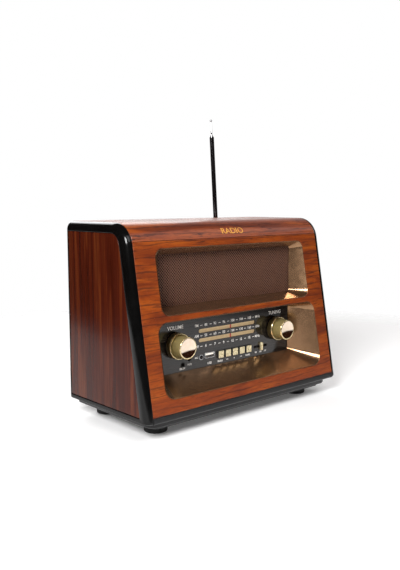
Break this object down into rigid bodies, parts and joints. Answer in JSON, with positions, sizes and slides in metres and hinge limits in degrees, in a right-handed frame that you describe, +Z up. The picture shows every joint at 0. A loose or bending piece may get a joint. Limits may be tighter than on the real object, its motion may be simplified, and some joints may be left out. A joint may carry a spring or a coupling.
{
  "type": "tabletop radio",
  "caption": "Table radio with a sloping wooden front, speaker window, lit tuning dial with two knobs and keys, and a telescopic rod antenna.",
  "frame": {"origin": "centre of the footprint, on the surface the feet stand on", "axes": "+Z up, -Y out of the front with the dial and the speaker, +X to the right of a person facing the front"},
  "size_m": [0.2806, 0.1458, 0.3228],
  "materials": {
    "front_wood": "satin lacquer",
    "side_wood": "satin lacquer",
    "gloss_black": "polished",
    "base_plastic": "satin",
    "bronze": "satin anodised bronze",
    "champagne": "metallised champagne",
    "knob_bronze": "metallised bronze",
    "grille": "woven brown mesh",
    "dial": "smoked, glossy",
    "scale": "matt",
    "pointer": "gloss",
    "key": "metallised cream",
    "plastic": "moulded",
    "steel": "bright",
    "chrome": "polished",
    "tube_black": "gloss black",
    "rubber": "matt",
    "circuit_board": "solder mask",
    "fibreboard": "raw",
    "paper": "fibrous",
    "ferrite": "matt",
    "copper": "enamelled wire",
    "cell": "shrink wrap",
    "cord": "woven",
    "lens": "milky",
    "gold": "satin"
  },
  "bodies": {
    "cabinet": {"left_side_frame": "gloss_black", "right_side_frame": "gloss_black", "left_side_panel": "side_wood", "right_side_panel": "side_wood", "top_panel": "front_wood", "front_panel": "front_wood", "base_tray": "base_plastic", "foot_front_left": "rubber", "foot_front_right": "rubber", "foot_rear_left": "rubber", "foot_rear_right": "rubber", "speaker_bezel": "bronze", "dial_bezel": "bronze", "speaker_grille": "grille", "speaker_baffle": "fibreboard", "speaker_basket": "steel", "speaker_magnet": "ferrite", "dial_panel": "dial", "dial_scale_plate": "scale", "pointer_rail": "steel", "volume_control": "steel", "tuning_capacitor": "plastic", "dial_cord": "cord", "band_switch": "steel", "usb_socket": "steel", "aux_socket": "steel", "dc_socket": "steel", "power_lens": "lens", "key_board": "circuit_board", "main_board": "circuit_board", "ferrite_rod": "ferrite", "ferrite_coil": "copper", "back_cover": "plastic", "battery_cell": "cell", "antenna_bracket": "plastic", "badge": "gold"},
    "speaker_cone_assembly": {"speaker_cone": "paper"},
    "volume_knob": {"volume_knob_skirt": "knob_bronze", "volume_knob_cap": "champagne", "volume_shaft": "steel"},
    "tuning_knob": {"tuning_knob_skirt": "knob_bronze", "tuning_knob_cap": "champagne", "tuning_spindle": "steel"},
    "pointer": {"dial_pointer": "pointer"},
    "drum": {"tuning_drum": "plastic"},
    "idler_pulley_left": {"idler_left": "plastic"},
    "idler_pulley_right": {"idler_right": "plastic"},
    "key_mode": {"button_mode": "key"},
    "key_back": {"button_back": "key"},
    "key_play": {"button_play": "key"},
    "key_next": {"button_next": "key"},
    "key_band": {"button_band": "key"},
    "band_lever": {"band_switch_lever": "key"},
    "cell_door": {"battery_door": "plastic"},
    "antenna_base": {"antenna_swivel": "chrome"},
    "antenna_outer": {"antenna_tube_1": "tube_black"},
    "antenna_second": {"antenna_tube_2": "chrome"},
    "antenna_third": {"antenna_tube_3": "chrome"},
    "antenna_tip": {"antenna_rod": "chrome"}
  },
  "joints": [
    {"name": "speaker_cone_travel", "type": "slide", "parent": "cabinet", "child": "speaker_cone_assembly", "axis": [0, 1, 0], "range_m": [-0.001, 0.001], "stiffness_N_per_m": 1500},
    {"name": "volume_turn", "type": "hinge", "parent": "cabinet", "child": "volume_knob", "pos_m": [-0.0741, -0.03355, 0.0803], "axis": [0, 1, 0], "range_deg": [-140, 140]},
    {"name": "tuning_turn", "type": "hinge", "parent": "cabinet", "child": "tuning_knob", "pos_m": [0.0741, -0.03355, 0.0803], "axis": [0, 1, 0], "range_deg": [-903.2, 662.5]},
    {"name": "pointer_travel", "type": "slide", "parent": "cabinet", "child": "pointer", "axis": [1, 0, 0], "range_m": [-0.0473, 0.0347]},
    {"name": "drum_turn", "type": "hinge", "parent": "cabinet", "child": "drum", "pos_m": [0, -0.01295, 0.072], "axis": [0, 1, 0], "range_deg": [-104.82, 77.15]},
    {"name": "idler_left_turn", "type": "hinge", "parent": "cabinet", "child": "idler_pulley_left", "pos_m": [-0.057, -0.01295, 0.1], "axis": [0, 1, 0], "range_deg": [-682.4, 501.9]},
    {"name": "idler_right_turn", "type": "hinge", "parent": "cabinet", "child": "idler_pulley_right", "pos_m": [0.057, -0.01295, 0.1], "axis": [0, 1, 0], "range_deg": [-682.4, 501.9]},
    {"name": "mode_press", "type": "slide", "parent": "cabinet", "child": "key_mode", "axis": [0, 1, 0], "range_m": [0, 0.0012], "stiffness_N_per_m": 600},
    {"name": "back_press", "type": "slide", "parent": "cabinet", "child": "key_back", "axis": [0, 1, 0], "range_m": [0, 0.0012], "stiffness_N_per_m": 600},
    {"name": "play_press", "type": "slide", "parent": "cabinet", "child": "key_play", "axis": [0, 1, 0], "range_m": [0, 0.0012], "stiffness_N_per_m": 600},
    {"name": "next_press", "type": "slide", "parent": "cabinet", "child": "key_next", "axis": [0, 1, 0], "range_m": [0, 0.0012], "stiffness_N_per_m": 600},
    {"name": "band_press", "type": "slide", "parent": "cabinet", "child": "key_band", "axis": [0, 1, 0], "range_m": [0, 0.0012], "stiffness_N_per_m": 600},
    {"name": "band_switch_travel", "type": "slide", "parent": "cabinet", "child": "band_lever", "axis": [1, 0, 0], "range_m": [-0.0085, 0.0085]},
    {"name": "battery_door_turn", "type": "hinge", "parent": "cabinet", "child": "cell_door", "pos_m": [-0.07, 0.05955, 0.0414], "axis": [-1, 0, 0], "range_deg": [0, 110]},
    {"name": "antenna_swing", "type": "hinge", "parent": "cabinet", "child": "antenna_base", "pos_m": [0.0796, 0.06945, 0.18], "axis": [0, 1, 0], "range_deg": [-86.1, 90]},
    {"name": "antenna_tilt", "type": "hinge", "parent": "antenna_base", "child": "antenna_outer", "pos_m": [0.07892, 0.06945, 0.18998], "axis": [-0.9977, 0, -0.068], "range_deg": [0, 85]},
    {"name": "antenna_draw_2", "type": "slide", "parent": "antenna_outer", "child": "antenna_second", "axis": [-0.068, 0, 0.9977], "range_m": [0, 0.085]},
    {"name": "antenna_draw_3", "type": "slide", "parent": "antenna_second", "child": "antenna_third", "axis": [-0.068, 0, 0.9977], "range_m": [0, 0.085]},
    {"name": "antenna_draw_rod", "type": "slide", "parent": "antenna_third", "child": "antenna_tip", "axis": [-0.068, 0, 0.9977], "range_m": [-0.0145, 0.07]}
  ],
  "couplings": [
    {"joint": "pointer_travel", "follows": "tuning_turn", "m_per_rad": 0.003},
    {"joint": "drum_turn", "follows": "tuning_turn", "ratio": 0.11494},
    {"joint": "idler_left_turn", "follows": "tuning_turn", "ratio": 0.75},
    {"joint": "idler_right_turn", "follows": "tuning_turn", "ratio": 0.75}
  ]
}
